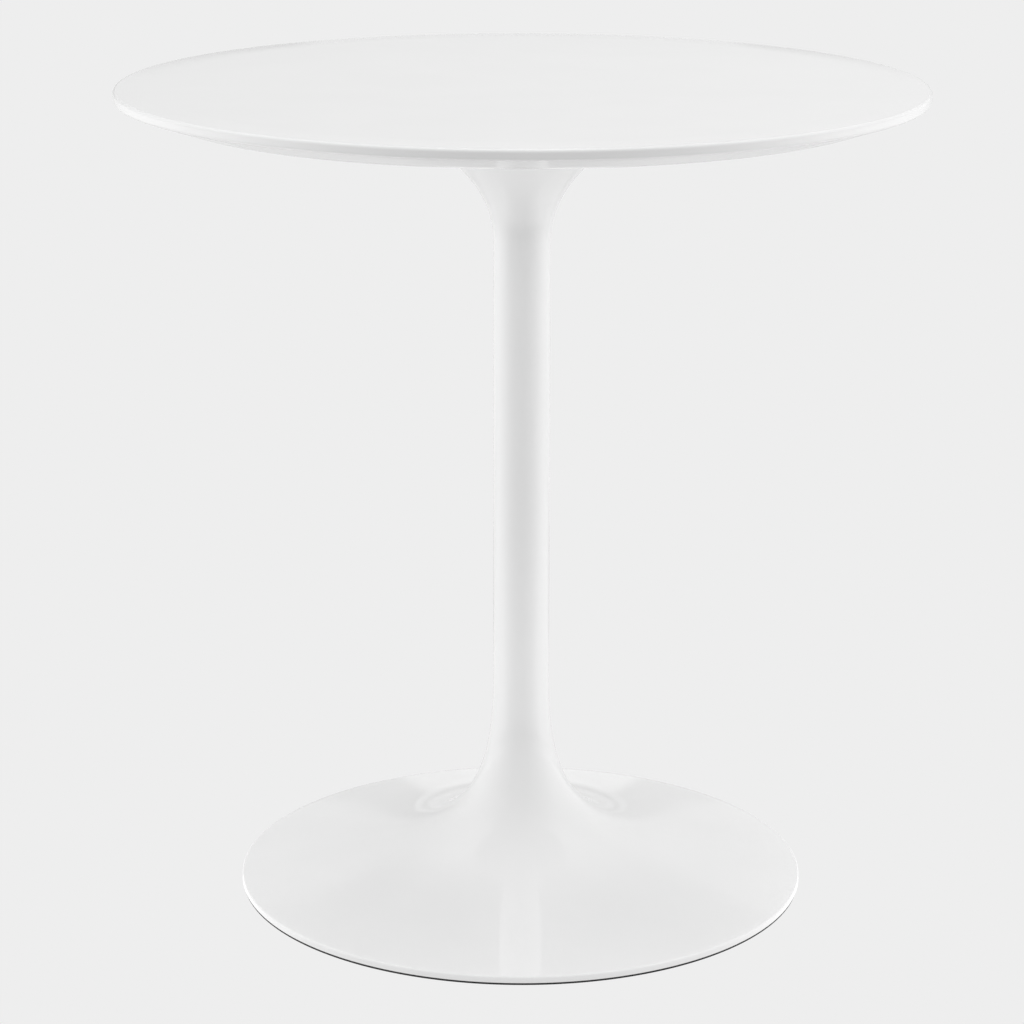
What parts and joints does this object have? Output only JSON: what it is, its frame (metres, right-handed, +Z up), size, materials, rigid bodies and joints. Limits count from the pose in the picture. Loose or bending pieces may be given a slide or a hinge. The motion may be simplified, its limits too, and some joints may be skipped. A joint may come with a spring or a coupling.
{
  "type": "round pedestal table",
  "caption": "Round table with a bevelled disc top on a slim column that flares into a trumpet-shaped round base, finished in white gloss lacquer.",
  "frame": {"origin": "on the floor, at the centre of the floor ring and on the column's axis", "axes": "+Z up along the column's axis; +Y points away from the viewer of the front view and +X to the right. The table is round, so X and Y are free choices."},
  "size_m": [0.711, 0.711, 0.737],
  "materials": {
    "top_lacquer": "gloss",
    "pedestal_lacquer": "gloss",
    "plate_coat": "satin",
    "floor_ring_rubber": "matte",
    "insert_brass": "satin",
    "zinc_steel": "satin"
  },
  "bodies": {
    "root": {"table_top": "top_lacquer", "mounting_plate": "plate_coat", "pedestal": "pedestal_lacquer", "floor_ring": "floor_ring_rubber", "threaded_insert_1": "insert_brass", "threaded_insert_2": "insert_brass", "threaded_insert_3": "insert_brass", "threaded_insert_4": "insert_brass", "threaded_insert_5": "insert_brass", "threaded_insert_6": "insert_brass", "threaded_insert_7": "insert_brass", "threaded_insert_8": "insert_brass", "top_screw_1": "zinc_steel", "top_screw_2": "zinc_steel", "top_screw_3": "zinc_steel", "top_screw_4": "zinc_steel", "top_screw_5": "zinc_steel", "top_screw_6": "zinc_steel", "top_screw_7": "zinc_steel", "top_screw_8": "zinc_steel", "plate_bolt_1": "zinc_steel", "plate_bolt_2": "zinc_steel", "plate_bolt_3": "zinc_steel", "plate_bolt_4": "zinc_steel"}
  },
  "joints": []
}
